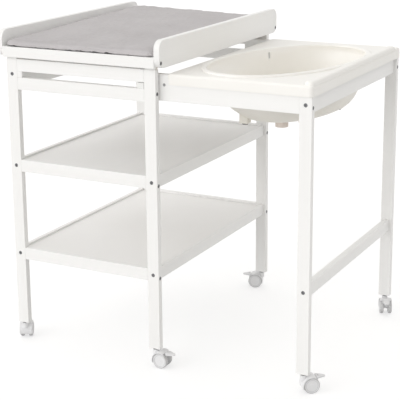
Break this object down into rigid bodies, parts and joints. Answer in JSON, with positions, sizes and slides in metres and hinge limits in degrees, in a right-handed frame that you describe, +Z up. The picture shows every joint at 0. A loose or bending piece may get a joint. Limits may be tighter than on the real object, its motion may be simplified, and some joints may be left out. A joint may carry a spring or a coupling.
{
  "type": "changing table with bathtub",
  "caption": "White wooden baby changing table with shelves, guard rails and a mat, and a bath tub on a frame that slides out from under the top on castors.",
  "frame": {"origin": "on the floor, in the middle of the whole object's width and depth with the tub pulled out", "axes": "+X to the right, the way the tub's frame is pulled out; +Y back, away from the person using it; +Z up"},
  "size_m": [1.048, 0.818, 1],
  "materials": {
    "white_wood": "white painted beech and pine boards, satin",
    "white_panel": "white coated thin board, satin",
    "bare_wood": "unpainted beech",
    "tub_plastic": "creamy white moulded plastic, soft gloss",
    "mat_fabric": "warm grey woven muslin cover over foam",
    "bolt_steel": "zinc plated steel",
    "guide_plastic": "white hard plastic",
    "black_rubber": "dark matt rubber",
    "drain_plastic": "pinkish beige plastic",
    "castor_plastic": "white moulded plastic",
    "castor_tread": "white wheel discs with a grey tread"
  },
  "bodies": {
    "main_frame": {"leg_front_left": "white_wood", "leg_front_right": "white_wood", "leg_back_left": "white_wood", "leg_back_right": "white_wood", "lower_front_rail": "white_wood", "upper_front_rail": "white_wood", "lower_back_rail": "white_wood", "upper_back_rail": "white_wood", "left_side_board": "white_wood", "middle_shelf_cross_rails": "white_wood", "middle_shelf_side_rails": "white_wood", "bottom_shelf_cross_rails": "white_wood", "bottom_shelf_side_rails": "white_wood", "top_front_board": "white_wood", "top_back_board": "white_wood", "top_left_guard": "white_wood", "top_right_guard": "white_wood", "middle_shelf_panel": "white_panel", "bottom_shelf_panel": "white_panel", "top_panel": "white_panel", "top_corner_blocks": "bare_wood", "rail_dowels": "bare_wood", "top_pads": "black_rubber", "main_bolts": "bolt_steel", "main_barrel_nuts": "bolt_steel", "main_castor_stems": "bolt_steel"},
    "changing_mat": {"changing_mat": "mat_fabric"},
    "tub_frame": {"tub_leg_front": "white_wood", "tub_leg_back": "white_wood", "tub_frame_front_board": "white_wood", "tub_frame_back_board": "white_wood", "tub_frame_end_board": "white_wood", "tub_frame_inner_tie": "white_wood", "tub_frame_cross_rail": "white_wood", "tub_frame_guides": "guide_plastic", "tub_frame_bolts": "bolt_steel", "tub_frame_barrel_nuts": "bolt_steel", "tub_castor_stems": "bolt_steel"},
    "bath_tub": {"bath_tub": "tub_plastic", "tub_foot_pads": "black_rubber", "drain_spout": "drain_plastic"},
    "drain_plug": {"drain_plug": "black_rubber"},
    "castor_front_left": {"castor_hood_front_left": "castor_plastic"},
    "wheels_front_left": {"castor_wheels_front_left": "castor_tread"},
    "lever_front_left": {"castor_lever_front_left": "castor_plastic"},
    "castor_front_right": {"castor_hood_front_right": "castor_plastic"},
    "wheels_front_right": {"castor_wheels_front_right": "castor_tread"},
    "lever_front_right": {"castor_lever_front_right": "castor_plastic"},
    "castor_back_left": {"castor_hood_back_left": "castor_plastic"},
    "wheels_back_left": {"castor_wheels_back_left": "castor_tread"},
    "lever_back_left": {"castor_lever_back_left": "castor_plastic"},
    "castor_back_right": {"castor_hood_back_right": "castor_plastic"},
    "wheels_back_right": {"castor_wheels_back_right": "castor_tread"},
    "lever_back_right": {"castor_lever_back_right": "castor_plastic"},
    "castor_tub_front": {"castor_hood_tub_front": "castor_plastic"},
    "wheels_tub_front": {"castor_wheels_tub_front": "castor_tread"},
    "lever_tub_front": {"castor_lever_tub_front": "castor_plastic"},
    "castor_tub_back": {"castor_hood_tub_back": "castor_plastic"},
    "wheels_tub_back": {"castor_wheels_tub_back": "castor_tread"},
    "lever_tub_back": {"castor_lever_tub_back": "castor_plastic"}
  },
  "joints": [
    {"name": "tub_slide", "type": "slide", "parent": "main_frame", "child": "tub_frame", "axis": [1, 0, 0], "range_m": [-0.403, 0]},
    {"name": "tub_lift", "type": "slide", "parent": "tub_frame", "child": "bath_tub", "axis": [0, 0, 1], "range_m": [0, 0.22]},
    {"name": "plug_lift", "type": "slide", "parent": "bath_tub", "child": "drain_plug", "axis": [0, 0, 1], "range_m": [0, 0.06]},
    {"name": "mat_lift", "type": "slide", "parent": "main_frame", "child": "changing_mat", "axis": [0, 0, 1], "range_m": [0, 0.1]},
    {"name": "swivel_front_left", "type": "hinge", "parent": "main_frame", "child": "castor_front_left", "pos_m": [-0.48298, -0.3855, 0.057], "axis": [0, 0, 1], "continuous": true},
    {"name": "roll_front_left", "type": "hinge", "parent": "castor_front_left", "child": "wheels_front_left", "pos_m": [-0.49262, -0.36573, 0.024], "axis": [0.8988, 0.4384, 0], "continuous": true},
    {"name": "brake_front_left", "type": "hinge", "parent": "castor_front_left", "child": "lever_front_left", "pos_m": [-0.5008, -0.34897, 0.04621], "axis": [0.8988, 0.4384, 0], "range_deg": [0, 16]},
    {"name": "swivel_front_right", "type": "hinge", "parent": "main_frame", "child": "castor_front_right", "pos_m": [-0.00098, -0.3855, 0.057], "axis": [0, 0, 1], "continuous": true},
    {"name": "roll_front_right", "type": "hinge", "parent": "castor_front_right", "child": "wheels_front_right", "pos_m": [0.02102, -0.3855, 0.024], "axis": [0, -1, 0], "continuous": true},
    {"name": "brake_front_right", "type": "hinge", "parent": "castor_front_right", "child": "lever_front_right", "pos_m": [0.03966, -0.3855, 0.04621], "axis": [0, -1, 0], "range_deg": [0, 16]},
    {"name": "swivel_back_left", "type": "hinge", "parent": "main_frame", "child": "castor_back_left", "pos_m": [-0.48298, 0.3855, 0.057], "axis": [0, 0, 1], "continuous": true},
    {"name": "roll_back_left", "type": "hinge", "parent": "castor_back_left", "child": "wheels_back_left", "pos_m": [-0.47546, 0.36483, 0.024], "axis": [-0.9397, -0.342, 0], "continuous": true},
    {"name": "brake_back_left", "type": "hinge", "parent": "castor_back_left", "child": "lever_back_left", "pos_m": [-0.46908, 0.34731, 0.04621], "axis": [-0.9397, -0.342, 0], "range_deg": [0, 16]},
    {"name": "swivel_back_right", "type": "hinge", "parent": "main_frame", "child": "castor_back_right", "pos_m": [-0.00098, 0.3855, 0.057], "axis": [0, 0, 1], "continuous": true},
    {"name": "roll_back_right", "type": "hinge", "parent": "castor_back_right", "child": "wheels_back_right", "pos_m": [-0.02166, 0.37798, 0.024], "axis": [-0.342, 0.9397, 0], "continuous": true},
    {"name": "brake_back_right", "type": "hinge", "parent": "castor_back_right", "child": "lever_back_right", "pos_m": [-0.03917, 0.3716, 0.04621], "axis": [-0.342, 0.9397, 0], "range_deg": [0, 16]},
    {"name": "swivel_tub_front", "type": "hinge", "parent": "tub_frame", "child": "castor_tub_front", "pos_m": [0.47202, -0.3625, 0.057], "axis": [0, 0, 1], "continuous": true},
    {"name": "roll_tub_front", "type": "hinge", "parent": "castor_tub_front", "child": "wheels_tub_front", "pos_m": [0.48887, -0.34836, 0.024], "axis": [0.6428, -0.766, 0], "continuous": true},
    {"name": "brake_tub_front", "type": "hinge", "parent": "castor_tub_front", "child": "lever_tub_front", "pos_m": [0.50315, -0.33638, 0.04621], "axis": [0.6428, -0.766, 0], "range_deg": [0, 16]},
    {"name": "swivel_tub_back", "type": "hinge", "parent": "tub_frame", "child": "castor_tub_back", "pos_m": [0.47202, 0.3545, 0.057], "axis": [0, 0, 1], "continuous": true},
    {"name": "roll_tub_back", "type": "hinge", "parent": "castor_tub_back", "child": "wheels_tub_back", "pos_m": [0.48166, 0.33473, 0.024], "axis": [-0.8988, -0.4384, 0], "continuous": true},
    {"name": "brake_tub_back", "type": "hinge", "parent": "castor_tub_back", "child": "lever_tub_back", "pos_m": [0.48983, 0.31797, 0.04621], "axis": [-0.8988, -0.4384, 0], "range_deg": [0, 16]}
  ]
}
